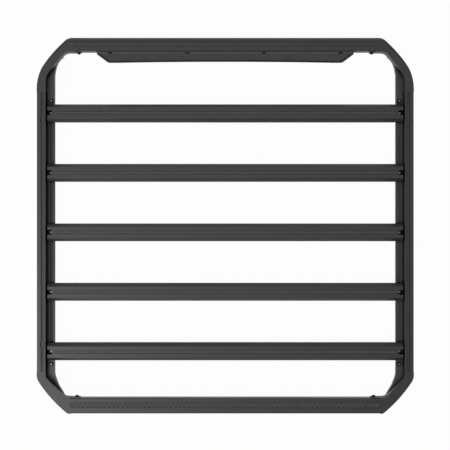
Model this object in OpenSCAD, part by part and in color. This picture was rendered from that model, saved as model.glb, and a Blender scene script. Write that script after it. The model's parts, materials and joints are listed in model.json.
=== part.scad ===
// Flat platform roof rack: two side rails, front and rear beams, four cast corners,
// five crossbars with end fittings, slot strips and a front wind deflector.
// Frame: +X right, +Y front of the vehicle, +Z up, z = 0 at the lowest edge.

/* [Platform] */
// Overall width from side to side
platform_w = 1350; // [1300:10:1500]
// Overall length from front to rear
platform_l = 1350; // [1340:10:1500]
// Height of the rails and beams
platform_h = 50; // [50:1:54]
// Drop of the wind deflector below the rails
deflector_drop = 36; // [34:1:38]

/* [Side rails] */
// Overall width of a rail with its inner flange
rail_w = 58; // [57.5:0.5:62]
// Width of the raised part of a rail as a share of the rail width
rail_raised_share = 0.5466; // [0.54:0.0002:0.555]
// Inset of the underside of a rail from its inner edge
rail_foot_inset = 8; // [6:0.5:9]
// Height of the upright edge of the flange
flange_edge_h = 9; // [8:0.5:9]
// Height of the inner flange
flange_h = 25; // [24:0.5:26]
// Rail end to the front of the platform
rail_front_gap = 198.5; // [194:0.5:210]
// Rail end to the rear of the platform
rail_rear_gap = 149.5; // [146:0.5:160]
// Wall thickness of the extrusions
wall_t = 2.5; // [2.2:0.1:2.8]

/* [Slots] */
// Width of the slot mouths
slot_mouth_w = 10; // [9.5:0.1:10.5]
// Width of the slot chambers
slot_chamber_w = 18; // [17:0.5:18.5]
// Depth of the slot chambers
slot_chamber_h = 6; // [5.5:0.5:6.5]
// Thickness of the slot lips
slot_lip_t = 3; // [2.5:0.1:3]
// Distance of the top slot centre from the inner face of the raised part
top_slot_edge = 11.7; // [11.6:0.1:12]
// Place of the flange slot as a share of the flange width
flange_slot_share = 0.608; // [0.6:0.002:0.612]
// Width of the flange slot mouth
flange_mouth_w = 10.4; // [9.5:0.1:10.6]
// Width of the flange slot chamber as a share of the flange width
flange_chamber_share = 0.608; // [0.59:0.002:0.62]
// Depth of the flange slot chamber
flange_chamber_h = 7; // [6.5:0.5:7]
// Depth of the underside slot chamber
foot_chamber_h = 9; // [8:0.5:9]
// Height of the side channel in the raised part of a rail
side_channel_h = 11; // [9:0.5:11]
// Depth of the side channel
side_channel_d = 10.7; // [9:0.1:11]
// Place of the underside slot as a share of the width of the raised part
foot_slot_share = 0.568; // [0.54:0.002:0.6]
// Depth of the rail strips below the lips
strip_drop = 2.8; // [2:0.1:2.9]
// Gap on each side of a rail strip
strip_gap = 1.5; // [0.8:0.1:1.6]
// Length of the drop in openings of the top slot
drop_in_l = 20; // [18:1:28]
// Width of the drop in openings of the top slot
drop_in_w = 16; // [15.5:0.5:17]
// Drop in openings to the middle of the nearest crossbar
drop_in_from_bar = 28; // [26:0.5:40]
// Length of the plugs in the ends of the top slots
plug_l = 41; // [36:1:44]
// Length of the flush head of a plug
plug_head_l = 2; // [1.5:0.5:6]

/* [Crossbars] */
// Rail end to the middle of the first crossbar
bar_front_gap = 73.6; // [73.5:0.1:90]
// Rail end to the middle of the last crossbar
bar_rear_gap = 71.2; // [71:0.1:90]
// Width of a crossbar
bar_w = 64; // [62:0.5:66]
// Height of a crossbar
bar_h = 25; // [24.5:0.1:25]
// Width of the sloping edge of a crossbar
bar_slope_w = 11; // [9:0.5:13]
// Drop of the sloping edge of a crossbar
bar_slope_h = 12; // [10:0.5:13]
// Width of the slot mouth of a crossbar
bar_mouth_w = 10.6; // [10:0.1:11.4]
// Gap on each side of a crossbar strip
bar_strip_gap = 1; // [0.8:0.1:1.2]
// Depth of the crossbar strips below the top
bar_strip_drop = 0.8; // [0.6:0.1:1.5]
// Reach of an end fitting past its bolt towards the side
fitting_end = 11.2; // [11:0.1:12]
// Reach of an end fitting past the inner edge of the rail
fitting_reach = 5; // [4:0.5:8]
// Chamfer at the outer end of an end fitting
fitting_chamfer = 2.8; // [2:0.1:3]
// Inset of the end fitting from the bar outline
fitting_inset = 1.1; // [0.6:0.1:1.5]
// Width of the bolt recess in an end fitting
recess_w = 18; // [17:0.5:20]
// Floor thickness of the bolt recess
recess_floor = 7; // [6:0.5:8]

/* [Beams] */
// Width of the front beam over the flat and the nose
front_beam_w = 51.6; // [51.6:0.1:53]
// Width of the rounded nose of the front beam
nose_w = 22.8; // [22:0.1:23]
// Drop of the nose of the front beam
nose_h = 14; // [13:0.5:15]
// Front beam end to the side of the platform
front_beam_gap = 136.5; // [136:0.5:150]
// Width of the rear beam
rear_beam_w = 55.5; // [55:0.1:57]
// Rear beam end to the side of the platform
rear_beam_gap = 121; // [121:0.5:140]
// Height of the upright inner wall of the beams
beam_wall_h = 24; // [23:0.5:25]
// Step inward of the lower part of the beams
beam_step = 7.5; // [7:0.1:8]
// Front slot centre to the inner wall of the front beam
front_slot_edge = 10.3; // [10.2:0.1:11]
// Rear slot centre to the inner wall of the rear beam
rear_slot_edge = 24.5; // [24:0.1:25]
// Width of the front strip seat
front_seat_w = 14; // [13:0.5:15]
// Width of the rear strip seat
rear_seat_w = 20; // [18:0.5:20]
// Depth of the seats of the beam strips
seat_depth = 2; // [1.6:0.1:2]

/* [Corners] */
// Wall thickness of the corner castings
cast_t = 4; // [3.6:0.1:5]
// Height of the lower ledge of the castings
ledge_h = 30; // [30:0.5:31]
// Bolt of the front corner plate to the rail end
front_plate_bolt = 28.5; // [27:0.5:30]
// Bolt of the rear corner plate to the rail end
rear_plate_bolt = 24.1; // [24:0.1:26]
// Length of the spigots in the rails
rail_spigot_l = 60; // [50:1:80]
// Length of the spigots in the beams
beam_spigot_l = 45; // [40:1:60]
// Clearance of a spigot in its extrusion
spigot_gap = 0.3; // [0.2:0.05:0.4]

/* [Fasteners] */
// Diameter of the bolt shanks
bolt_d = 8; // [7.8:0.1:8]
// Diameter of the button heads
bolt_head_d = 16; // [15:0.1:16.4]
// Height of the button heads
bolt_head_h = 4.4; // [4:0.1:4.6]
// Clearance of a bolt in its hole
bolt_gap = 0.4; // [0.3:0.1:0.6]
// Flange diameter of the domed bolts
dome_flange_d = 16; // [15:0.5:17]
// Depth of the beam bolts below the top
beam_bolt_drop = 14; // [13:0.5:15]
// Thickness of the corner tabs under the beam bolts
tab_t = 3; // [2.6:0.1:3.6]

/* [Wind deflector] */
// Beam end to the end of the deflector panel
panel_gap = 74; // [70:0.5:80]
// Inward slant of the panel ends from top to bottom
panel_slant = 30.5; // [28:0.5:34]
// Radius of the lower corners of the panel
panel_corner_r = 11; // [9:0.5:13]
// Thickness of the panel
panel_t = 3; // [2.6:0.1:3.2]
// Rise of the bottom edge in the middle
panel_crown = 7.5; // [5:0.5:9]
// Width of the rubber edge trim
trim_w = 7; // [6:0.5:8]
// Thickness of the rubber edge trim
trim_t = 6; // [5.6:0.1:6.4]
// End of the panel to the first deflector screw
screw_gap = 49; // [44:0.5:55]

/* [Hidden] */
half_w = platform_w / 2;
half_l = platform_l / 2;
rail_front_y = half_l - rail_front_gap;
rail_rear_y = -half_l + rail_rear_gap;
rail_raised_w = rail_w * rail_raised_share;
top_slot_u = rail_raised_w - top_slot_edge;
foot_slot_u = rail_raised_w * foot_slot_share;
flange_w = rail_w - rail_raised_w;
flange_slot_u = rail_raised_w + flange_w * flange_slot_share;
flange_chamber_w = flange_w * flange_chamber_share;
rail_foot_w = rail_w - rail_foot_inset;
strip_clip_gap = 2.3;
flange_x = half_w - flange_slot_u;
bar_end_x = flange_x + fitting_end;
bar_tube_x = half_w - rail_w - fitting_reach;
bar_first_y = rail_front_y - bar_front_gap;
bar_pitch = (bar_first_y - rail_rear_y - bar_rear_gap) / 4;
bar_ys = [for (i = [0:4]) bar_first_y - i * bar_pitch];
bar_z = platform_h - bar_h;
chamber_top = platform_h - slot_lip_t;
chamber_low = chamber_top - slot_chamber_h;
bar_lip_z = bar_h - slot_lip_t;
bar_chamber_w = 20;
bar_chamber_h = 8.5;
flange_lip_z = flange_h - slot_lip_t;
flange_chamber_z = flange_lip_z - flange_chamber_h;
side_channel_z = flange_h + wall_t;
side_channel_u = rail_raised_w - side_channel_d;
front_plate_y = bar_ys[0] + bar_w / 2 + 1.6;
rear_plate_y = bar_ys[4] - bar_w / 2 - 1.6;
front_foot_v = front_beam_w - beam_step;
rear_foot_v = rear_beam_w - beam_step;
beam_step_z = platform_h - beam_wall_h;
front_slot_v = front_beam_w - front_slot_edge;
rear_slot_v = rear_beam_w - rear_slot_edge;
screw_d = 6;
dome_shank = 14;
lean = 14.7;
bend_z = 27;
flange_top_z = platform_h - 1.5;
front_beam_x = half_w - front_beam_gap;
rear_beam_x = half_w - rear_beam_gap;
front_bolt_x = front_beam_x - 11.5;
rear_bolt_x = rear_beam_x - 20;
panel_top_x = front_beam_x - panel_gap;
panel_bottom_x = panel_top_x - panel_slant;
screw_pitch = 2 * (panel_top_x - screw_gap) / 3;
screw_z = platform_h - beam_bolt_drop;
panel_len = (deflector_drop + bend_z - sin(lean) * (trim_t - panel_t) / 2) / cos(lean);
$fn = 48;

// Loops of corner points, each with its own radius
function unit(v) = v / norm(v);
function turn(a) = a > 180 ? a - 360 : (a < -180 ? a + 360 : a);
function arc_points(c, r, a0, sweep, n) =
    [for (i = [0:n]) c + r * [cos(a0 + sweep * i / n), sin(a0 + sweep * i / n)]];
function corner_arc(a, b, c, r, n) =
    let (u = unit(a - b), w = unit(c - b), half = acos(u * w) / 2)
    let (m = b + unit(u + w) * r / sin(half))
    let (p = b + u * r / tan(half) - m, q = b + w * r / tan(half) - m)
    let (a0 = atan2(p[1], p[0]), a1 = atan2(q[1], q[0]))
    arc_points(m, r, a0, turn(a1 - a0), n);
function xy(p) = [p[0], p[1]];
function rounded(c, n = 4) =
    let (k = len(c))
    [for (i = [0:k - 1]) each c[i][2] > 0
        ? corner_arc(xy(c[(i + k - 1) % k]), xy(c[i]), xy(c[(i + 1) % k]), c[i][2], n)
        : [xy(c[i])]];
function cross2(a, b) = a[0] * b[1] - a[1] * b[0];
function inset_one(a, b, c, r, d) =
    let (u = unit(b - a), w = unit(c - b), s = cross2(u, w))
    let (nu = [-u[1], u[0]], nw = [-w[1], w[0]])
    let (p = b + d * (nu + nw) / (1 + nu * nw))
    [p[0], p[1], r > 0 ? max(0.5, s > 0 ? r - d : r + d) : 0];
// Moves a counterclockwise loop of corners inward by d
function inset(c, d) =
    let (k = len(c))
    [for (i = [0:k - 1])
        inset_one(xy(c[(i + k - 1) % k]), xy(c[i]), xy(c[(i + 1) % k]), c[i][2], d)];
function front_map(c) = [for (p = c) [-half_w + p[0], half_l - p[1], p[2]]];
function rear_map(c) = [for (p = c) [-half_w + p[0], -half_l + p[1], p[2]]];

// Plain building blocks
module slab(loop, z0, z1, n = 4) {
    translate([0, 0, z0])
        linear_extrude(height = z1 - z0)
            polygon(rounded(loop, n));
}
module box(x0, x1, y0, y1, z0, z1) {
    translate([x0, y0, z0])
        cube([x1 - x0, y1 - y0, z1 - z0]);
}
// A section drawn in width and height, drawn out along y from y0 to y1
module along_y(y0, y1) {
    translate([0, y1, 0])
        rotate([90, 0, 0])
            linear_extrude(height = y1 - y0)
                children();
}
// A section drawn in depth and height, drawn out along x from x0 to x1
module along_x(x0, x1) {
    translate([x0, 0, 0])
        rotate([90, 0, 90])
            linear_extrude(height = x1 - x0)
                children();
}
module rect(x0, x1, y0, y1) {
    translate([x0, y0])
        square([x1 - x0, y1 - y0]);
}

// Side rail section, u inward from the outer face
foot_cell_top = flange_chamber_z - wall_t;
side_slope = (rail_w - rail_foot_w) / (flange_h - flange_edge_h);
side_wall = wall_t * sqrt(1 + side_slope * side_slope);
main_cell_z = slot_lip_t + foot_chamber_h + wall_t;
side_channel_top = side_channel_z + side_channel_h;
module rail_section() {
    difference() {
        polygon(rounded([[0, 0, 1.5], [rail_foot_w, 0, 1.5],
            [rail_w, flange_h - flange_edge_h, 1.5], [rail_w, flange_h, 1.2],
            [rail_raised_w, flange_h, 0], [rail_raised_w, platform_h, 1.2],
            [0, platform_h, 3]]));
        rect(top_slot_u - slot_mouth_w / 2, top_slot_u + slot_mouth_w / 2,
            chamber_top - 0.5, platform_h + 1);
        rect(top_slot_u - slot_chamber_w / 2, top_slot_u + slot_chamber_w / 2,
            chamber_low, chamber_top);
        rect(wall_t, top_slot_u - slot_chamber_w / 2 - wall_t, chamber_low,
            chamber_top - 1);
        rect(wall_t, side_channel_u - wall_t, main_cell_z, chamber_low - wall_t);
        rect(wall_t, rail_raised_w - wall_t, main_cell_z, flange_h);
        rect(side_channel_u, rail_raised_w + 1, side_channel_z, side_channel_top);
        rect(foot_slot_u - slot_mouth_w / 2, foot_slot_u + slot_mouth_w / 2, -1,
            slot_lip_t + 0.5);
        rect(foot_slot_u - slot_chamber_w / 2, foot_slot_u + slot_chamber_w / 2,
            slot_lip_t, slot_lip_t + foot_chamber_h);
        rect(wall_t, foot_slot_u - slot_chamber_w / 2 - wall_t, slot_lip_t,
            slot_lip_t + foot_chamber_h);
        rect(flange_slot_u - flange_mouth_w / 2, flange_slot_u + flange_mouth_w / 2,
            flange_lip_z - 0.5, flange_h + 1);
        rect(flange_slot_u - flange_chamber_w / 2, flange_slot_u + flange_chamber_w / 2,
            flange_chamber_z, flange_lip_z);
        polygon([[rail_raised_w, wall_t], [rail_foot_w - side_wall + side_slope * wall_t, wall_t],
            [rail_foot_w - side_wall + side_slope * foot_cell_top, foot_cell_top],
            [rail_raised_w, foot_cell_top]]);
    }
}
module drop_in(y) {
    w = drop_in_w / 2;
    l = drop_in_l / 2;
    c = 3;
    translate([top_slot_u, y, chamber_top - 0.5])
        linear_extrude(height = slot_lip_t + 2)
            polygon([[-w, -l + c], [-w + c, -l], [w - c, -l], [w, -l + c], [w, l - c],
                [w - c, l], [-w + c, l], [-w, l - c]]);
}
module rail() {
    translate([-half_w, 0, deflector_drop])
        difference() {
            along_y(rail_rear_y, rail_front_y)
                rail_section();
            drop_in(bar_ys[0] - drop_in_from_bar);
            drop_in(bar_ys[4] + drop_in_from_bar);
        }
}
module left_rail() {
    color([0.09, 0.09, 0.09])
        rail();
}
module right_rail() {
    color([0.09, 0.09, 0.09])
        mirror([1, 0, 0])
            rail();
}

// Strip clipped under the lips of a slot whose top is at h
module clip_strip_section(mouth, chamber, h, gap, drop) {
    clip = chamber / 2 - strip_clip_gap;
    union() {
        rect(-mouth / 2 + gap, mouth / 2 - gap, h - slot_lip_t - 2.6, h - drop);
        rect(-clip, clip, h - slot_lip_t - 2.6, h - slot_lip_t - 0.2);
    }
}
// Rail strips and slot plugs
module rail_strip() {
    y0 = rail_rear_y + plug_l + 1;
    y1 = rail_front_y - plug_l - 1;
    translate([-half_w + top_slot_u, 0, deflector_drop])
        along_y(y0, y1)
            clip_strip_section(slot_mouth_w, slot_chamber_w, platform_h, strip_gap,
                strip_drop);
    for (i = [0:3])
        translate([-half_w + flange_slot_u, 0, deflector_drop])
            along_y(bar_ys[i + 1] + bar_w / 2 + 1, bar_ys[i] - bar_w / 2 - 1)
                clip_strip_section(flange_mouth_w, flange_chamber_w, flange_h, strip_gap,
                    strip_drop);
}
module left_rail_strip() {
    color([0.05, 0.05, 0.05])
        rail_strip();
}
module right_rail_strip() {
    color([0.05, 0.05, 0.05])
        mirror([1, 0, 0])
            rail_strip();
}
// Plug from the rail end at y0 inward, with a flush head
module plug(y0, dir) {
    translate([-half_w + top_slot_u, y0, deflector_drop])
        scale([1, dir, 1])
            union() {
                along_y(0.3, plug_l)
                    clip_strip_section(slot_mouth_w, slot_chamber_w, platform_h,
                        strip_gap, strip_drop);
                along_y(0.3, plug_head_l)
                    rect(-slot_mouth_w / 2 + 0.2, slot_mouth_w / 2 - 0.2,
                        chamber_top - 1, platform_h - 0.4);
            }
}
module two_plugs() {
    plug(rail_rear_y, 1);
    plug(rail_front_y, -1);
}
module rail_slot_plugs() {
    color([0.07, 0.07, 0.07])
        union() {
            two_plugs();
            mirror([1, 0, 0])
                two_plugs();
        }
}

// Crossbars
bar_half = bar_w / 2;
bar_cell_in = bar_chamber_w / 2 + wall_t;
bar_floor = bar_lip_z - bar_chamber_h - wall_t;
bar_loop = [[-bar_half, 0, 1.5], [bar_half, 0, 1.5],
    [bar_half, bar_h - bar_slope_h, 2], [bar_half - bar_slope_w, bar_h, 3],
    [-bar_half + bar_slope_w, bar_h, 3], [-bar_half, bar_h - bar_slope_h, 2]];
bar_cell = [[bar_cell_in, wall_t, 0], [bar_half - wall_t, wall_t, 1],
    [bar_half - wall_t, bar_h - bar_slope_h - 1, 1],
    [bar_half - bar_slope_w - 1, bar_h - wall_t, 1],
    [bar_cell_in, bar_h - wall_t, 0]];
module bar_section() {
    difference() {
        polygon(rounded(bar_loop));
        rect(-bar_mouth_w / 2, bar_mouth_w / 2, bar_lip_z - 0.5, bar_h + 1);
        rect(-bar_chamber_w / 2, bar_chamber_w / 2, bar_lip_z - bar_chamber_h, bar_lip_z);
        rect(-bar_chamber_w / 2, bar_chamber_w / 2, wall_t, bar_floor);
        polygon(rounded(bar_cell));
        mirror([1, 0])
            polygon(rounded(bar_cell));
    }
}
module crossbar(i) {
    color([0.1, 0.1, 0.1])
        translate([0, bar_ys[i], deflector_drop + bar_z])
            along_x(-bar_tube_x, bar_tube_x)
                bar_section();
}
module crossbar_1() {
    crossbar(0);
}
module crossbar_2() {
    crossbar(1);
}
module crossbar_3() {
    crossbar(2);
}
module crossbar_4() {
    crossbar(3);
}
module crossbar_5() {
    crossbar(4);
}

// A slot strip seated on the lips, with a stem between them
module seat_strip_section(seat_w, h) {
    union() {
        rect(-seat_w / 2 + 0.3, seat_w / 2 - 0.3, h - seat_depth, h - 0.4);
        rect(-slot_mouth_w / 2 + 0.3, slot_mouth_w / 2 - 0.3,
            h - seat_depth - slot_lip_t + 0.2, h - seat_depth + 0.1);
    }
}
module crossbar_strips() {
    color([0.05, 0.05, 0.05])
        for (y = bar_ys)
            translate([0, y, deflector_drop + bar_z])
                along_x(-bar_tube_x, bar_tube_x)
                    clip_strip_section(bar_mouth_w, bar_chamber_w, bar_h,
                        bar_strip_gap, bar_strip_drop);
}

// Cast end fitting of a crossbar, left end at the bar middle
fit_half = bar_half - fitting_inset;
fit_loop = [[-fit_half, 0, 1.2], [fit_half, 0, 1.2],
    [fit_half, bar_h - bar_slope_h, 2], [fit_half - bar_slope_w + 0.5, bar_h - 0.8, 2],
    [-fit_half + bar_slope_w - 0.5, bar_h - 0.8, 2], [-fit_half, bar_h - bar_slope_h, 2]];
fit_tongue = inset(bar_cell, spigot_gap);
module fitting_body() {
    difference() {
        union() {
            along_x(-bar_end_x, -bar_tube_x)
                polygon(rounded(fit_loop));
            along_x(-bar_tube_x - 1, -bar_tube_x + 25)
                union() {
                    polygon(rounded(fit_tongue));
                    mirror([1, 0])
                        polygon(rounded(fit_tongue));
                }
        }
        translate([-flange_x, 0, recess_floor])
            cylinder(d = recess_w, h = bar_h);
        box(-bar_end_x - 1, -flange_x, -recess_w / 2, recess_w / 2, recess_floor, bar_h + 1);
        translate([-flange_x, 0, -1])
            cylinder(d = bolt_d + 2 * bolt_gap, h = recess_floor + 2);
        translate([-bar_end_x, 0, bar_h])
            rotate([0, 45, 0])
                cube([fitting_chamfer * sqrt(2), bar_w, fitting_chamfer * sqrt(2)],
                    center = true);
    }
}
module end_pair(i) {
    color([0.12, 0.12, 0.12])
        translate([0, bar_ys[i], deflector_drop + bar_z])
            union() {
                fitting_body();
                mirror([1, 0, 0])
                    fitting_body();
            }
}
module crossbar_1_ends() {
    end_pair(0);
}
module crossbar_2_ends() {
    end_pair(1);
}
module crossbar_3_ends() {
    end_pair(2);
}
module crossbar_4_ends() {
    end_pair(3);
}
module crossbar_5_ends() {
    end_pair(4);
}

// Rounded nose from the flat down to the front edge, v from the front
nose_top = [nose_w, platform_h];
nose_end = [0, platform_h - nose_h];
nose_mid = [nose_w * 0.44, platform_h - nose_h * 0.333];
nose_curve = corner_arc(nose_top, nose_mid, nose_end, 50, 6);
// Front beam section, v from the front edge inward
front_chamber_low = platform_h - seat_depth - slot_lip_t - slot_chamber_h;
front_loop = [[14, 0, 3], [front_foot_v, 0, 2], [front_beam_w, beam_step_z, 3],
    [front_beam_w, platform_h, 1.5], [nose_w, platform_h, 0],
    [nose_mid[0], nose_mid[1], 50], [0, platform_h - nose_h, 4], [2.5, 14, 6]];
front_cell = [[14.5, 3, 1], [front_foot_v - 2, 3, 1],
    [front_foot_v + 2, front_chamber_low - wall_t, 0],
    [front_slot_v - 11.5, front_chamber_low - wall_t, 0],
    [front_slot_v - 11.5, platform_h - 3.5, 0], [nose_w + 0.5, platform_h - 3.5, 1],
    [nose_mid[0] + 1, nose_mid[1] - 3.5, 30], [3, platform_h - nose_h - 2, 1],
    [5.5, 15, 2]];
module beam_slot(v, seat_w, chamber_w) {
    rect(v - seat_w / 2, v + seat_w / 2, platform_h - seat_depth, platform_h + 1);
    rect(v - slot_mouth_w / 2, v + slot_mouth_w / 2,
        platform_h - seat_depth - slot_lip_t - 0.5, platform_h);
    rect(v - chamber_w / 2, v + chamber_w / 2, front_chamber_low,
        platform_h - seat_depth - slot_lip_t);
}
module front_section() {
    difference() {
        polygon(rounded(front_loop));
        beam_slot(front_slot_v, front_seat_w, 2 * (front_slot_edge - wall_t));
        polygon(rounded(front_cell));
    }
}
// Places children on the inner wall of the front beam at height z, axis outward
module on_front_face(x, z) {
    translate([x, half_l - front_beam_w, deflector_drop + z])
        rotate([90, 0, 0])
            children();
}
module front_beam() {
    color([0.1, 0.1, 0.1])
        difference() {
            translate([0, half_l, deflector_drop])
                mirror([0, 1, 0])
                    along_x(-front_beam_x, front_beam_x)
                        front_section();
            for (s = [-1, 1])
                on_front_face(s * front_bolt_x, screw_z)
                    translate([0, 0, -12])
                        cylinder(d = bolt_d + 2 * bolt_gap, h = 16);
            for (i = [-1.5:1:1.5])
                on_front_face(i * screw_pitch, screw_z)
                    translate([0, 0, -8])
                        cylinder(d = screw_d + 0.3, h = 12);
        }
}
module front_beam_strip() {
    color([0.05, 0.05, 0.05])
        translate([0, half_l - front_slot_v, deflector_drop])
            along_x(-front_beam_x, front_beam_x)
                seat_strip_section(front_seat_w, platform_h);
}

// Rear beam section, v from the rear edge inward
rear_loop = [[4, 0, 3], [rear_foot_v, 0, 3], [rear_beam_w, beam_step_z, 3],
    [rear_beam_w, platform_h, 3.5], [0, platform_h, 5], [0, 8, 6]];
rear_cell = [[5.5, 3, 1], [rear_foot_v - 2, 3, 1],
    [rear_foot_v + 2, front_chamber_low - wall_t, 1],
    [rear_slot_v - 12.5, front_chamber_low - wall_t, 0],
    [rear_slot_v - 12.5, platform_h - 3, 0], [3, platform_h - 3, 3], [3, 8, 2]];
rear_cell_small = [[rear_slot_v + 12.5, front_chamber_low, 0],
    [rear_beam_w - 3, front_chamber_low, 0.5],
    [rear_beam_w - 3, platform_h - 3.5, 1], [rear_slot_v + 12.5, platform_h - 3.5, 0]];
module rear_section() {
    difference() {
        polygon(rounded(rear_loop));
        beam_slot(rear_slot_v, rear_seat_w, 20);
        polygon(rounded(rear_cell));
        polygon(rounded(rear_cell_small));
    }
}
// Places children on the inner wall of the rear beam at height z, axis outward
module on_rear_face(x, z) {
    translate([x, -half_l + rear_beam_w, deflector_drop + z])
        rotate([-90, 0, 0])
            children();
}
module rear_beam() {
    color([0.1, 0.1, 0.1])
        difference() {
            translate([0, -half_l, deflector_drop])
                along_x(-rear_beam_x, rear_beam_x)
                    rear_section();
            for (s = [-1, 1])
                on_rear_face(s * rear_bolt_x, screw_z)
                    translate([0, 0, -12])
                        cylinder(d = bolt_d + 2 * bolt_gap, h = 16);
        }
}
module rear_beam_strip() {
    color([0.05, 0.05, 0.05])
        translate([0, -half_l + rear_slot_v, deflector_drop])
            along_x(-rear_beam_x, rear_beam_x)
                seat_strip_section(rear_seat_w, platform_h);
}

// Front corner outlines, u from the side and v from the front
front_face_v = front_beam_w + tab_t;
front_outer = [[0, rail_front_gap, 0], [0, 136.5, 165], [61.2, 45.6, 370],
    [114.8, 0, 28], [front_beam_gap, 0, 0]];
front_inner = [[front_beam_gap, front_face_v, 0], [100, front_face_v, 30],
    [rail_raised_w, 139.7, 60], [rail_raised_w, rail_front_gap, 0]];
front_low_inner = [[front_beam_gap, front_foot_v, 0], [96, front_foot_v, 20],
    [rail_raised_w, 121.5, 40], [rail_raised_w, rail_front_gap, 0]];
front_ledge = [[16, rail_front_gap, 0], [16, 150, 0], [60, 72, 0], [72, 80, 0],
    [63, 104, 80], [rail_w, 130, 80], [rail_w, rail_front_gap, 0]];
front_low_ledge = [[16, rail_front_gap, 0], [16, 150, 0], [55, 80, 0], [60, 92, 0],
    [54, 112, 60], [rail_foot_w, 130, 60], [rail_foot_w, rail_front_gap, 0]];
front_pocket = [[33, rail_front_gap - 9, 0], [33, 141, 0], [46, 126, 0],
    [46, rail_front_gap - 9, 0]];
front_window = [[20, rail_front_gap + 1, 0], [20, 152, 0], [52, 110, 0], [60, 114, 0],
    [rail_raised_w + 2, 146, 0], [rail_raised_w + 2, rail_front_gap + 1, 0]];
rear_face_v = rear_beam_w + tab_t;
rear_outer = [[0, rail_rear_gap, 0], [0, 124.3, 46], [48.7, 53.4, 480],
    [110.1, 0, 14], [rear_beam_gap, 0, 0]];
rear_inner = [[rear_beam_gap, rear_face_v, 0], [98.3, rear_face_v, 30],
    [rail_raised_w, 131.4, 18], [rail_raised_w, rail_rear_gap, 0]];
rear_low_inner = [[rear_beam_gap, rear_foot_v, 0], [94, rear_foot_v, 20],
    [rail_raised_w, 119, 18], [rail_raised_w, rail_rear_gap, 0]];
rear_ledge = [[16, rail_rear_gap, 0], [16, 118, 0], [66, 58, 0], [92, 64, 0],
    [71, 98, 60], [rail_w, 134, 60], [rail_w, rail_rear_gap, 0]];
rear_low_ledge = [[16, rail_rear_gap, 0], [16, 118, 0], [56, 66, 0], [80, 68, 0],
    [62, 98, 50], [rail_foot_w, 130, 50], [rail_foot_w, rail_rear_gap, 0]];
rear_pocket = [[33.5, rail_rear_gap - 9, 0], [33.5, 127, 0], [46, 112, 0],
    [46, rail_rear_gap - 9, 0]];
rear_window = [[20, rail_rear_gap + 1, 0], [20, 126, 0], [56, 84, 0], [68, 90, 0],
    [rail_raised_w + 2, 134, 0], [rail_raised_w + 2, rail_rear_gap + 1, 0]];

rail_spigot_low = main_cell_z + spigot_gap;
rail_spigot_top = flange_h - spigot_gap;
window_top = platform_h - side_channel_h;
ledge_step_z = flange_h - flange_edge_h;
mitre_u = 108;
fade_u = 22;
fade_v = 110;
fade_angle = atan2(fade_v - nose_w, mitre_u - fade_u);
// Region above the nose curve, s outward from the nose line, sunk by d
module above_nose(d) {
    polygon(concat([for (p = nose_curve) [nose_w - p[0], p[1] - d]],
        [[2 * nose_w, platform_h - 3 * nose_h - d], [3 * nose_w, platform_h - 3 * nose_h - d],
        [3 * nose_w, platform_h + nose_h], [0, platform_h + nose_h]]));
}
// Space above the nose that fades along the front corner
module nose_cut(d) {
    translate([-half_w + mitre_u, half_l - nose_w, 0])
        rotate([0, 0, 90 + fade_angle])
            rotate([90, 0, 0])
                translate([0, 0, -fade_v * 2])
                    linear_extrude(height = fade_v * 2 + nose_w * 2)
                        above_nose(d);
}
// Space above the nose of the beam, carried on to the mitre
module beam_nose_cut(d) {
    translate([-half_w - nose_w, half_l - nose_w, 0])
        rotate([90, 0, 90])
            linear_extrude(height = front_beam_gap * 2)
                above_nose(d);
}
// Shell of a casting, open beneath
module front_cavity() {
    difference() {
        slab(front_map(inset(concat(front_outer, front_low_inner), cast_t)), -1,
            platform_h - cast_t, 8);
        nose_cut(cast_t);
        beam_nose_cut(cast_t);
    }
}
module front_body() {
    difference() {
        union() {
            slab(front_map(concat(front_outer, front_inner)), beam_step_z, platform_h, 8);
            slab(front_map(concat(front_outer, front_low_inner)), 0, beam_step_z, 8);
            slab(front_map(front_ledge), ledge_step_z, ledge_h, 8);
            slab(front_map(front_low_ledge), 0, ledge_step_z, 8);
        }
        nose_cut(0);
        beam_nose_cut(0);
        front_cavity();
        slab(front_map(front_pocket), -1, ledge_h - cast_t, 8);
        slab(front_map(front_window), ledge_h, window_top, 8);
    }
}
module front_corner() {
    translate([0, 0, deflector_drop])
        difference() {
            union() {
                front_body();
                box(-half_w + wall_t + spigot_gap, -half_w + rail_raised_w - wall_t
                    - spigot_gap, rail_front_y - rail_spigot_l, rail_front_y + 2,
                    rail_spigot_low, rail_spigot_top);
                translate([0, half_l, 0])
                    mirror([0, 1, 0])
                        along_x(-front_beam_x - 2, -front_beam_x + beam_spigot_l)
                            polygon([[16, 3.3], [front_foot_v - 2.6, 3.3],
                                [front_foot_v + 1, front_chamber_low - wall_t - 0.3],
                                [12, front_chamber_low - wall_t - 0.3]]);
                box(-half_w + rail_raised_w + 0.5, -half_w + rail_w, front_plate_y,
                    rail_front_y + 2, flange_h, ledge_h);
                box(-front_beam_x - 2, -front_bolt_x + 8.5, half_l - front_face_v,
                    half_l - front_beam_w, beam_step_z + 1.5, platform_h - 3);
                translate([-half_w + 77.4, half_l - 59.9, 0])
                    rotate([0, 0, -41.3])
                        box(-14, 10, -1.5, 1.5, 4, platform_h / 2);
            }
            translate([-flange_x, rail_front_y - front_plate_bolt, 0])
                cylinder(d = bolt_d + 2 * bolt_gap, h = platform_h);
            translate([0, 0, -deflector_drop])
                on_front_face(-front_bolt_x, screw_z)
                    translate([0, 0, -dome_shank - 2])
                        cylinder(d = bolt_d + 0.3, h = dome_shank + 6);
        }
}
module front_left_corner() {
    color([0.09, 0.09, 0.09])
        front_corner();
}
module front_right_corner() {
    color([0.09, 0.09, 0.09])
        mirror([1, 0, 0])
            front_corner();
}
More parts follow.
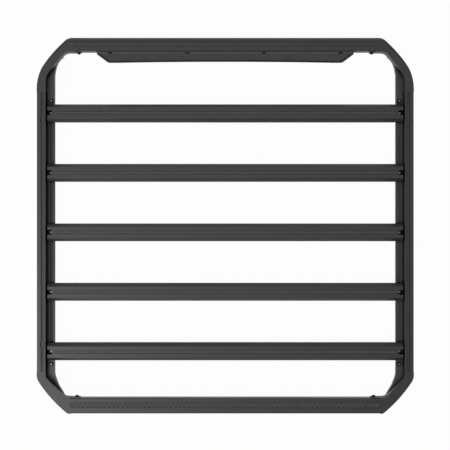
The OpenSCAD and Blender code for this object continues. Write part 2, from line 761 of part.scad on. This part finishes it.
module rear_body() {
    difference() {
        union() {
            slab(rear_map(concat(rear_outer, rear_inner)), beam_step_z, platform_h, 8);
            slab(rear_map(concat(rear_outer, rear_low_inner)), 0, beam_step_z, 8);
            slab(rear_map(rear_ledge), ledge_step_z, ledge_h, 8);
            slab(rear_map(rear_low_ledge), 0, ledge_step_z, 8);
        }
        slab(rear_map(inset(concat(rear_outer, rear_low_inner), cast_t)), -1,
            platform_h - cast_t, 8);
        slab(rear_map(rear_pocket), -1, ledge_h - cast_t, 8);
        slab(rear_map(rear_window), ledge_h, window_top, 8);
    }
}
module rear_corner() {
    translate([0, 0, deflector_drop])
        difference() {
            union() {
                rear_body();
                box(-half_w + wall_t + spigot_gap, -half_w + rail_raised_w - wall_t
                    - spigot_gap, rail_rear_y - 2, rail_rear_y + rail_spigot_l,
                    rail_spigot_low, rail_spigot_top);
                translate([0, -half_l, 0])
                    along_x(-rear_beam_x - 2, -rear_beam_x + beam_spigot_l)
                        polygon([[6, 3.3], [rear_foot_v - 2.6, 3.3],
                            [rear_foot_v + 1, front_chamber_low - wall_t - 0.3],
                            [6, front_chamber_low - wall_t - 0.3]]);
                box(-half_w + rail_raised_w + 0.5, -half_w + rail_w, rail_rear_y - 2,
                    rear_plate_y, flange_h, ledge_h);
                box(-rear_beam_x - 2, -rear_bolt_x + 12, -half_l + rear_beam_w,
                    -half_l + rear_face_v, beam_step_z + 1.5, platform_h - 3);
            }
            translate([-flange_x, rail_rear_y + rear_plate_bolt, 0])
                cylinder(d = bolt_d + 2 * bolt_gap, h = platform_h);
            translate([0, 0, -deflector_drop])
                on_rear_face(-rear_bolt_x, screw_z)
                    translate([0, 0, -dome_shank - 2])
                        cylinder(d = bolt_d + 0.3, h = dome_shank + 6);
        }
}
module rear_left_corner() {
    color([0.09, 0.09, 0.09])
        rear_corner();
}
module rear_right_corner() {
    color([0.09, 0.09, 0.09])
        mirror([1, 0, 0])
            rear_corner();
}

// Button head bolt standing on z = 0, shank below
module button_bolt(shank_l) {
    r = bolt_head_d / 2;
    difference() {
        union() {
            rotate_extrude()
                polygon([[0, 0], [r, 0], [r, 0.8], [r * 0.93, bolt_head_h * 0.45],
                    [r * 0.78, bolt_head_h * 0.75], [r * 0.55, bolt_head_h * 0.95],
                    [r * 0.45, bolt_head_h], [0, bolt_head_h]]);
            translate([0, 0, -shank_l])
                cylinder(d = bolt_d, h = shank_l + 0.5);
        }
        translate([0, 0, bolt_head_h - 2.6])
            cylinder(d = 5.8, h = 4, $fn = 6);
    }
}
// Domed flange bolt standing on z = 0, shank below
module domed_bolt(shank_l) {
    r = dome_flange_d / 2;
    union() {
        rotate_extrude()
            polygon([[0, 0], [r, 0], [r, 1.2], [r * 0.82, 2], [r * 0.72, 3.4],
                [r * 0.58, 4.7], [r * 0.38, 5.6], [r * 0.2, 5.9], [0, 6]]);
        translate([0, 0, -shank_l])
            cylinder(d = bolt_d, h = shank_l + 0.5);
    }
}
nut_h = 6;
nut_top = flange_lip_z;
module crossbar_bolts() {
    color([0.35, 0.35, 0.36])
        for (s = [-1, 1])
            for (y = bar_ys)
                translate([s * flange_x, y, deflector_drop + bar_z + recess_floor])
                    button_bolt(recess_floor + bar_z - nut_top);
}
module corner_rail_bolts() {
    color([0.35, 0.35, 0.36])
        for (s = [-1, 1])
            for (y = [rail_front_y - front_plate_bolt, rail_rear_y + rear_plate_bolt])
                translate([s * flange_x, y, deflector_drop + ledge_h])
                    button_bolt(ledge_h - nut_top);
}
module flange_nut(y) {
    translate([-flange_x, y, deflector_drop + nut_top - nut_h])
        translate([-flange_chamber_w / 2 + 0.5, -11, 0])
            cube([flange_chamber_w - 1, 22, nut_h]);
}
nut_ys = concat(bar_ys, [rail_front_y - front_plate_bolt, rail_rear_y + rear_plate_bolt]);
module flange_nuts() {
    color([0.5, 0.5, 0.5])
        for (y = nut_ys) {
            flange_nut(y);
            mirror([1, 0, 0])
                flange_nut(y);
        }
}
module front_beam_bolts() {
    color([0.3, 0.3, 0.3])
        for (s = [-1, 1])
            on_front_face(s * front_bolt_x, screw_z)
                translate([0, 0, tab_t])
                    domed_bolt(dome_shank);
}
module rear_beam_bolts() {
    color([0.3, 0.3, 0.3])
        for (s = [-1, 1])
            on_rear_face(s * rear_bolt_x, screw_z)
                translate([0, 0, tab_t])
                    domed_bolt(dome_shank);
}

// Wind deflector, a bent panel held on the lower inner face of the front beam
// Outline in the plane of the panel, y down the slope from the bend
// with level toes at both ends of the crowned bottom edge
crown_x = panel_bottom_x - 3 * panel_corner_r;
function crown_y(x, d) = panel_len - d - panel_crown * (1 - pow(x / crown_x, 2));
function edge_loop(d, top) = rounded(concat(
    [[-panel_top_x + d, top, 0], [-panel_top_x + d, 3, 0],
        [-panel_bottom_x + d, panel_len - d, panel_corner_r - d]],
    [for (i = [0:12])
        let (x = (i / 6 - 1) * crown_x)
        [x, crown_y(x, d), 0]],
    [[panel_bottom_x - d, panel_len - d, panel_corner_r - d],
        [panel_top_x - d, 3, 0], [panel_top_x - d, top, 0]]), 6);
module in_panel_plane(z0, z1) {
    translate([0, half_l - front_beam_w, deflector_drop + bend_z])
        rotate([-90 - lean, 0, 0])
            translate([0, 0, z0])
                linear_extrude(height = z1 - z0)
                    children();
}
// Bent section of the panel, v from the front edge inward
module panel_section() {
    b = [front_beam_w, bend_z];
    low = [sin(lean), -cos(lean)];
    low_n = [cos(lean), sin(lean)];
    half_bend = unit([1, 0] + low_n) * panel_t / cos(lean / 2);
    polygon([b, b + low * panel_len, b + low * panel_len + low_n * panel_t, b + half_bend,
        [front_beam_w + panel_t, flange_top_z], [front_beam_w, flange_top_z]]);
}
module wind_deflector() {
    color([0.08, 0.08, 0.08])
        difference() {
            translate([0, half_l, deflector_drop])
                mirror([0, 1, 0])
                    along_x(-panel_top_x + 2, panel_top_x - 2)
                        panel_section();
            in_panel_plane(-20, 20)
                difference() {
                    rect(-panel_top_x - 10, panel_top_x + 10, 3, panel_len + 20);
                    polygon(edge_loop(2, 1));
                }
            for (i = [-1.5:1:1.5])
                on_front_face(i * screw_pitch, screw_z)
                    translate([0, 0, -1])
                        cylinder(d = screw_d + 0.6, h = panel_t + 2);
        }
}
module deflector_trim() {
    mid = -panel_t / 2;
    color([0.03, 0.03, 0.03])
        difference() {
            in_panel_plane(mid - trim_t / 2, mid + trim_t / 2)
                polygon(edge_loop(0, 2.6));
            in_panel_plane(-30, 30)
                polygon(edge_loop(trim_w, -10));
            in_panel_plane(-panel_t - 0.1, 0.1)
                polygon(edge_loop(1.9, -10));
        }
}
module deflector_screws() {
    color([0.3, 0.3, 0.3])
        for (i = [-1.5:1:1.5])
            on_front_face(i * screw_pitch, screw_z)
                translate([0, 0, panel_t])
                    union() {
                        rotate_extrude()
                            polygon([[0, 0], [8, 0], [8, 0.8], [7.2, 2.2], [5.6, 3.8],
                                [3.2, 4.9], [0, 5.2]]);
                        translate([0, 0, -panel_t - 5])
                            cylinder(d = screw_d, h = panel_t + 5.5);
                    }
}

left_rail();
right_rail();
front_beam();
rear_beam();
front_left_corner();
front_right_corner();
rear_left_corner();
rear_right_corner();
crossbar_1();
crossbar_2();
crossbar_3();
crossbar_4();
crossbar_5();
crossbar_1_ends();
crossbar_2_ends();
crossbar_3_ends();
crossbar_4_ends();
crossbar_5_ends();
crossbar_strips();
left_rail_strip();
right_rail_strip();
rail_slot_plugs();
front_beam_strip();
rear_beam_strip();
wind_deflector();
deflector_trim();
deflector_screws();
crossbar_bolts();
corner_rail_bolts();
front_beam_bolts();
rear_beam_bolts();
flange_nuts();
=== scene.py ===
"""Finish, light and camera for the flat platform roof rack. Lengths are in metres."""
import json

import bmesh
import bpy
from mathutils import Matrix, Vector


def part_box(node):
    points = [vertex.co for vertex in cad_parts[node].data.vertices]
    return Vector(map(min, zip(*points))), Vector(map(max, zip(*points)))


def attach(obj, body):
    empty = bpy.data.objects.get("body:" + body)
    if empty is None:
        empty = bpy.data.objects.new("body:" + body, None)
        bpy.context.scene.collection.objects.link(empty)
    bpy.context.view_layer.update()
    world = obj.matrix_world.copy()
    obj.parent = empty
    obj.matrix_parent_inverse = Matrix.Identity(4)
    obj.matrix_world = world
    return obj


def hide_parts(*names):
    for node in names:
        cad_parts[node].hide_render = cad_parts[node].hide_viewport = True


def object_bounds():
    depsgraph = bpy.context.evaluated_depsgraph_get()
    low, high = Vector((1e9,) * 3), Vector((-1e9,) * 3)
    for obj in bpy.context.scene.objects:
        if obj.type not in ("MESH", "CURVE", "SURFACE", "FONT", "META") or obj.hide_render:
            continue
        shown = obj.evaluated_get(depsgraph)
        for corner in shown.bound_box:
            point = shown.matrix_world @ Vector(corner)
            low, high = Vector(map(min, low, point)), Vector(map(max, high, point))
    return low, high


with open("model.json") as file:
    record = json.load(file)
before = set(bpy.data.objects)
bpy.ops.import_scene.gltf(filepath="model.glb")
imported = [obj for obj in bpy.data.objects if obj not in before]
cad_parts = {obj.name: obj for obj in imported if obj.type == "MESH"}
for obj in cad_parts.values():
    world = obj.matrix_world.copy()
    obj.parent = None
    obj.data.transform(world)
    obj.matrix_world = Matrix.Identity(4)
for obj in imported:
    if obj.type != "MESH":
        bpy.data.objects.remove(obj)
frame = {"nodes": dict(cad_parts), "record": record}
cad_box = [list(corner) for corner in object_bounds()]
nodes = frame["nodes"]

IMAGE_PX = 450

# Camera: straight above the platform
LENS_MM = 50
SENSOR_MM = 36
VIEW_WIDTH = 1.6103
OBJECT_OFF_X_PX = 0.26
OBJECT_OFF_Y_PX = 0.2

# Strips of the beams: wedge pads with a zigzag groove between them
PAD_PITCH = 0.0158
PAD_HEIGHT = 0.0011
PAD_GROOVE = 0.0019
PAD_BEVEL = 0.00035
PAD_NARROW = 0.0012
CAP_HEIGHT = 0.0016
STEM_WIDTH = 0.0094

# How far the painted shade in the grooves looks round for a wall, and the openness from black to no
# painted shade
COAT_REACH = 0.018
RUBBER_REACH = 0.004
SHADE_AO_BLACK = 0.3
SHADE_AO_NONE = 0.75
PAINTED_SHADE_COLOUR = (0.001, 0.001, 0.001)
COAT_PEEL_DEPTH = 0.00025
RUBBER_GLOSS = 0.35

# Upward share of a bolt's normal where the painted highlight begins and where it is whole
BOLT_HIGHLIGHT_START = 0.968
BOLT_HIGHLIGHT_WHOLE = 0.998


def node_tree(name):
    """A new material with an empty tree, its Principled shader and its output."""
    material = bpy.data.materials.new(name)
    material.use_nodes = True
    tree = material.node_tree
    tree.nodes.clear()
    shader = tree.nodes.new("ShaderNodeBsdfPrincipled")
    output = tree.nodes.new("ShaderNodeOutputMaterial")
    tree.links.new(shader.outputs["BSDF"], output.inputs["Surface"])
    return material, tree, shader


def coordinates(tree):
    """Object coordinates: every CAD object sits at the origin, so these are metres in the frame."""
    return tree.nodes.new("ShaderNodeTexCoord").outputs["Object"]


def noise(tree, place, scale, detail=3.0, roughness=0.55):
    node = tree.nodes.new("ShaderNodeTexNoise")
    node.inputs["Scale"].default_value = scale
    node.inputs["Detail"].default_value = detail
    node.inputs["Roughness"].default_value = roughness
    tree.links.new(place, node.inputs["Vector"])
    return node.outputs["Fac"]


def remap(tree, value, low, high, from_low=0.3, from_high=0.7):
    """Carries a value from its own range to the range low to high, and holds it there."""
    node = tree.nodes.new("ShaderNodeMapRange")
    node.inputs["From Min"].default_value = from_low
    node.inputs["From Max"].default_value = from_high
    node.inputs["To Min"].default_value = low
    node.inputs["To Max"].default_value = high
    tree.links.new(value, node.inputs["Value"])
    return node.outputs["Result"]


def mix_colours(tree, factor, first, second):
    node = tree.nodes.new("ShaderNodeMix")
    node.data_type = "RGBA"
    node.inputs["A"].default_value = (*first, 1)
    node.inputs["B"].default_value = (*second, 1)
    tree.links.new(factor, node.inputs["Factor"])
    return node.outputs["Result"]


def bump(tree, height, strength, distance, below=None):
    node = tree.nodes.new("ShaderNodeBump")
    node.inputs["Strength"].default_value = strength
    node.inputs["Distance"].default_value = distance
    tree.links.new(height, node.inputs["Height"])
    if below is not None:
        tree.links.new(below, node.inputs["Normal"])
    return node.outputs["Normal"]


def recess_shade(tree, reach):
    """Ambient occlusion as the mask of painted shade: 1 on open faces, 0 deep in grooves up to
    about the reach in width.
    """
    node = tree.nodes.new("ShaderNodeAmbientOcclusion")
    node.inputs["Distance"].default_value = reach
    node.samples = 8
    return remap(tree, node.outputs["AO"], 0, 1, SHADE_AO_BLACK, SHADE_AO_NONE)


def times(tree, first, second):
    """The product of two values, of which either may be a plain number."""
    node = tree.nodes.new("ShaderNodeMath")
    node.operation = "MULTIPLY"
    for socket, value in zip(node.inputs, (first, second)):
        if isinstance(value, float):
            socket.default_value = value
        else:
            tree.links.new(value, socket)
    return node.outputs["Value"]


def painted_recess_shade(tree, shade, colour):
    """Painted shade: the colour, going to near black where the shade is 0."""
    shaded_colour = mix_colours(tree, shade, PAINTED_SHADE_COLOUR, PAINTED_SHADE_COLOUR)
    tree.links.new(colour, shaded_colour.node.inputs["B"])
    return shaded_colour


def powder_coat(name, dark, light, rough, grain, relief, gloss):
    """Satin powder coat: fine orange peel, cloudy colour and gloss, and painted shade that darkens
    colour and gloss in the grooves.
    """
    material, tree, shader = node_tree(name)
    place = coordinates(tree)
    clouds = noise(tree, place, 9, 4)
    speckle = noise(tree, place, 1600, 2)
    peel = noise(tree, place, grain, 3)
    link = tree.links.new
    blend = tree.nodes.new("ShaderNodeMath")
    blend.operation = "ADD"
    link(remap(tree, clouds, 0, 0.7), blend.inputs[0])
    link(remap(tree, speckle, 0, 0.3), blend.inputs[1])
    # Painted shade: ambient occlusion darkens the base colour and the gloss in grooves and recesses
    shade = recess_shade(tree, COAT_REACH)
    colour = mix_colours(tree, blend.outputs[0], dark, light)
    link(painted_recess_shade(tree, shade, colour), shader.inputs["Base Color"])
    link(remap(tree, clouds, rough - 0.04, rough + 0.05), shader.inputs["Roughness"])
    link(bump(tree, peel, relief, COAT_PEEL_DEPTH), shader.inputs["Normal"])
    link(times(tree, shade, gloss), shader.inputs["Specular IOR Level"])
    return material


def rubber(name, dark, light, rough, ribs=0.0, along="Y"):
    """Matt rubber with a fine grain, and fine grooves along the strip where ribs is above 0."""
    material, tree, shader = node_tree(name)
    place = coordinates(tree)
    link = tree.links.new
    grain = noise(tree, place, 1100, 4)
    patches = noise(tree, place, 22, 3)
    # Painted shade: ambient occlusion darkens the base colour and the gloss in the grooves
    shade = recess_shade(tree, RUBBER_REACH)
    colour = mix_colours(tree, remap(tree, patches, 0, 1), dark, light)
    link(painted_recess_shade(tree, shade, colour), shader.inputs["Base Color"])
    link(remap(tree, grain, rough - 0.06, rough + 0.06), shader.inputs["Roughness"])
    normal = bump(tree, grain, 0.25, 0.0002)
    if ribs:
        wave = tree.nodes.new("ShaderNodeTexWave")
        wave.bands_direction = along
        wave.inputs["Scale"].default_value = ribs
        link(place, wave.inputs["Vector"])
        normal = bump(tree, wave.outputs["Fac"], 0.5, 0.0004, normal)
    link(normal, shader.inputs["Normal"])
    link(times(tree, shade, RUBBER_GLOSS), shader.inputs["Specular IOR Level"])
    return material


def plastic(name, dark, light, rough):
    """Moulded plastic with a spark-eroded texture."""
    material, tree, shader = node_tree(name)
    place = coordinates(tree)
    link = tree.links.new
    texture = noise(tree, place, 700, 5, 0.7)
    clouds = noise(tree, place, 30, 2)
    link(mix_colours(tree, remap(tree, clouds, 0, 1), dark, light), shader.inputs["Base Color"])
    link(remap(tree, texture, rough - 0.08, rough + 0.08), shader.inputs["Roughness"])
    link(bump(tree, texture, 0.35, 0.0003), shader.inputs["Normal"])
    return material


def bolt_metal(name, flank, top, rough):
    """Blackened steel with a painted highlight: lighter colour on the faces that look up out of the
    part.
    """
    material, tree, shader = node_tree(name)
    place = coordinates(tree)
    link = tree.links.new
    scratches = noise(tree, place, 800, 5, 0.65)
    facing = tree.nodes.new("ShaderNodeNewGeometry")
    split = tree.nodes.new("ShaderNodeSeparateXYZ")
    link(facing.outputs["True Normal"], split.inputs["Vector"])
    # Painted highlight: faces that look up take the lighter top colour
    up = remap(tree, split.outputs["Z"], 0, 1, BOLT_HIGHLIGHT_START, BOLT_HIGHLIGHT_WHOLE)
    link(mix_colours(tree, up, flank, top), shader.inputs["Base Color"])
    link(remap(tree, scratches, rough - 0.08, rough + 0.1), shader.inputs["Roughness"])
    link(bump(tree, scratches, 0.15, 0.0001), shader.inputs["Normal"])
    shader.inputs["Metallic"].default_value = 1.0
    return material


MATERIALS = {
    "powder_coat": powder_coat(
        "powder_coat", (0.026, 0.026, 0.026), (0.036, 0.036, 0.036), 0.44, 900, 0.16, 0.75
    ),
    "cast_coat": powder_coat(
        "cast_coat", (0.026, 0.026, 0.026), (0.036, 0.036, 0.036), 0.46, 620, 0.26, 0.75
    ),
    "panel_coat": powder_coat(
        "panel_coat", (0.026, 0.026, 0.026), (0.034, 0.034, 0.034), 0.55, 900, 0.14, 0.3
    ),
    "strip_rubber": rubber(
        "strip_rubber", (0.082, 0.082, 0.083), (0.098, 0.098, 0.099), 0.55, 80
    ),
    "trim_rubber": rubber("trim_rubber", (0.008, 0.008, 0.008), (0.013, 0.013, 0.013), 0.55),
    "plug_plastic": plastic("plug_plastic", (0.035, 0.035, 0.036), (0.046, 0.046, 0.047), 0.5),
    "bolt_steel": bolt_metal("bolt_steel", (0.012, 0.012, 0.012), (0.26, 0.26, 0.265), 0.32),
    "nut_steel": bolt_metal("nut_steel", (0.35, 0.35, 0.35), (0.6, 0.6, 0.6), 0.35),
}
RAIL_RUBBER = rubber(
    "rail_rubber", (0.062, 0.062, 0.063), (0.078, 0.078, 0.079), 0.55, 80, "X"
)
SLOT_OF_NODE = {s["node"]: s["material_slot"] for s in frame["record"]["subparts"]}


def paint(obj, material):
    obj.data.materials.clear()
    obj.data.materials.append(material)


for name, obj in nodes.items():
    paint(obj, MATERIALS[SLOT_OF_NODE[name]])
for name in ("left_rail_strip", "right_rail_strip"):
    paint(nodes[name], RAIL_RUBBER)


def prism(mesh, outline, z0, z1, bevel=0.0):
    """A closed prism over a counterclockwise outline, its top edge bevelled inward."""
    centre = sum((Vector(p) for p in outline), Vector((0, 0))) / len(outline)
    rings = [(z0, 0.0), (z1 - bevel, 0.0)] + ([(z1, bevel)] if bevel else [])
    loops = []
    for z, shrink in rings:
        loop = []
        for p in outline:
            q = Vector(p)
            step = centre - q
            q += step.normalized() * shrink
            loop.append(mesh.verts.new((q.x, q.y, z)))
        loops.append(loop)
    count = len(outline)
    for lower, upper in zip(loops, loops[1:]):
        for i in range(count):
            j = (i + 1) % count
            mesh.faces.new((lower[i], lower[j], upper[j], upper[i]))
    mesh.faces.new(loops[-1])
    mesh.faces.new(list(reversed(loops[0])))


def rectangle(x0, x1, y0, y1):
    return [(x0, y0), (x1, y0), (x1, y1), (x0, y1)]


def grip_strip(name, node):
    """The strip of a beam: a cap on a stem, with wedge pads that leave a zigzag groove."""
    low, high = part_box(node)
    y_mid = (low.y + high.y) / 2
    pad_low = high.z - PAD_HEIGHT
    mesh = bmesh.new()
    stem = STEM_WIDTH / 2
    prism(mesh, rectangle(low.x, high.x, y_mid - stem, y_mid + stem), low.z, high.z - CAP_HEIGHT)
    prism(mesh, rectangle(low.x, high.x, low.y, high.y), high.z - CAP_HEIGHT, pad_low)
    half_wide = (PAD_PITCH - PAD_NARROW - 2 * PAD_GROOVE) / 2
    count = int((high.x - low.x) / PAD_PITCH)
    start = (low.x + high.x) / 2 - count * PAD_PITCH / 2
    edge = 0.0003
    for i in range(count):
        for wide_y, narrow_y, shift in (
            (low.y + edge, high.y - edge, 0.25),
            (high.y - edge, low.y + edge, 0.75),
        ):
            x = start + (i + shift) * PAD_PITCH
            outline = [
                (x - half_wide, wide_y), (x + half_wide, wide_y),
                (x + PAD_NARROW / 2, narrow_y), (x - PAD_NARROW / 2, narrow_y),
            ]
            if wide_y > narrow_y:
                outline.reverse()
            prism(mesh, outline, pad_low, high.z, PAD_BEVEL)
    data = bpy.data.meshes.new(name)
    mesh.to_mesh(data)
    mesh.free()
    strip = bpy.data.objects.new(name, data)
    bpy.context.scene.collection.objects.link(strip)
    paint(strip, MATERIALS["strip_rubber"])
    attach(strip, "root")
    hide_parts(node)
    return strip


grip_strip("front_grip_strip", "front_beam_strip")
grip_strip("rear_grip_strip", "rear_beam_strip")

# Floor: white to the camera, with the object's shadow kept
FLOOR_SIZE = 80
FLOOR_SHADOW_SHARE = 0.03
FLOOR_COLOUR = (0.85, 0.85, 0.85, 1)


def make_floor():
    data = bpy.data.meshes.new("floor")
    mesh = bmesh.new()
    bmesh.ops.create_grid(mesh, x_segments=1, y_segments=1, size=FLOOR_SIZE / 2)
    mesh.to_mesh(data)
    mesh.free()
    floor = bpy.data.objects.new("floor", data)
    bpy.context.scene.collection.objects.link(floor)
    material = bpy.data.materials.new("floor_white")
    material.use_nodes = True
    tree = material.node_tree
    tree.nodes.clear()
    link = tree.links.new
    diffuse = tree.nodes.new("ShaderNodeBsdfDiffuse")
    diffuse.inputs["Color"].default_value = FLOOR_COLOUR
    glow = tree.nodes.new("ShaderNodeEmission")
    glow.inputs["Strength"].default_value = 1.0
    path = tree.nodes.new("ShaderNodeLightPath")
    seen = tree.nodes.new("ShaderNodeMath")
    seen.operation = "MAXIMUM"
    link(path.outputs["Is Camera Ray"], seen.inputs[0])
    link(path.outputs["Is Glossy Ray"], seen.inputs[1])
    clear = tree.nodes.new("ShaderNodeMath")
    clear.operation = "MAXIMUM"
    link(seen.outputs[0], clear.inputs[0])
    link(path.outputs["Is Transmission Ray"], clear.inputs[1])
    share = tree.nodes.new("ShaderNodeMath")
    share.operation = "MULTIPLY"
    share.inputs[1].default_value = 1 - FLOOR_SHADOW_SHARE
    link(clear.outputs[0], share.inputs[0])
    mix = tree.nodes.new("ShaderNodeMixShader")
    link(share.outputs[0], mix.inputs["Fac"])
    link(diffuse.outputs["BSDF"], mix.inputs[1])
    link(glow.outputs["Emission"], mix.inputs[2])
    output = tree.nodes.new("ShaderNodeOutputMaterial")
    link(mix.outputs["Shader"], output.inputs["Surface"])
    paint(floor, material)


make_floor()

# World: a bright ceiling over darker walls, brighter at the rear left, and a pale wall in front
# The stops are the height on the sky's sphere and the level there
SKY_STOPS = ((0.0, 0.35), (0.3, 0.16), (0.6, 0.16), (0.8, 0.55), (0.93, 1.0), (1.0, 1.12))
SKY_TILT = 0.85
SKY_SIDE_REACH = 0.5
SKY_REAR_REACH = 0.35
SKY_FRONT_SHARE = 0.15
FRONT_WALL = 0.3
FRONT_WALL_START = 0.45
FRONT_WALL_WHOLE = 0.9
RAMP_SCALE = 2  # a ramp's colours stay below 1, so its levels are halved and doubled again


def make_world():
    world = bpy.data.worlds.new("studio")
    bpy.context.scene.world = world
    world.use_nodes = True
    tree = world.node_tree
    tree.nodes.clear()
    link = tree.links.new
    place = tree.nodes.new("ShaderNodeTexCoord").outputs["Generated"]
    split = tree.nodes.new("ShaderNodeSeparateXYZ")
    link(place, split.inputs["Vector"])
    ramp = tree.nodes.new("ShaderNodeValToRGB")
    stops = ramp.color_ramp.elements
    while len(stops) < len(SKY_STOPS):
        stops.new(0.5)
    for stop, (height, level) in zip(stops, SKY_STOPS):
        stop.position = height
        grey = level / RAMP_SCALE
        stop.color = (grey, grey, grey, 1)
    link(split.outputs["Z"], ramp.inputs["Fac"])
    left = remap(tree, split.outputs["X"], 1, -1, -SKY_SIDE_REACH, SKY_SIDE_REACH)
    rear = remap(
        tree, split.outputs["Y"], 1, SKY_FRONT_SHARE, -SKY_REAR_REACH, SKY_REAR_REACH
    )
    least = RAMP_SCALE * (1 - SKY_TILT)
    most = RAMP_SCALE * (1 + SKY_TILT)
    tilt = remap(tree, times(tree, left, rear), least, most, -1, 1)
    wall = remap(
        tree, split.outputs["Y"], 0, FRONT_WALL, FRONT_WALL_START, FRONT_WALL_WHOLE
    )
    total = tree.nodes.new("ShaderNodeMath")
    total.operation = "ADD"
    link(times(tree, ramp.outputs["Color"], tilt), total.inputs[0])
    link(wall, total.inputs[1])
    sky = tree.nodes.new("ShaderNodeBackground")
    link(total.outputs[0], sky.inputs["Strength"])
    output = tree.nodes.new("ShaderNodeOutputWorld")
    link(sky.outputs["Background"], output.inputs["Surface"])


make_world()


def area_light(name, place, size, power, target=(0, 0, 0)):
    data = bpy.data.lights.new(name, "AREA")
    data.shape = "SQUARE"
    data.size = size
    data.energy = power
    lamp = bpy.data.objects.new(name, data)
    lamp.location = place
    aim = Vector(target) - Vector(place)
    lamp.rotation_euler = aim.to_track_quat("-Z", "Y").to_euler()
    bpy.context.scene.collection.objects.link(lamp)


KEY_PLACE = (-2.4, -1.7, 2.6)
KEY_SIZE = 2.4
KEY_POWER = 50
area_light("key_rear_left", KEY_PLACE, KEY_SIZE, KEY_POWER)

# Camera at the photograph's place above the middle of the platform
low, high = Vector(cad_box[0]), Vector(cad_box[1])
metres_per_px = VIEW_WIDTH / IMAGE_PX
middle = (low + high) / 2
distance = VIEW_WIDTH * LENS_MM / SENSOR_MM
camera_data = bpy.data.cameras.new("camera")
camera_data.lens = LENS_MM
camera_data.sensor_width = SENSOR_MM
camera = bpy.data.objects.new("camera", camera_data)
camera.location = (
    middle.x - OBJECT_OFF_X_PX * metres_per_px,
    middle.y + OBJECT_OFF_Y_PX * metres_per_px,
    high.z + distance,
)
bpy.context.scene.collection.objects.link(camera)
bpy.context.scene.camera = camera
bpy.context.scene.view_settings.view_transform = "Standard"
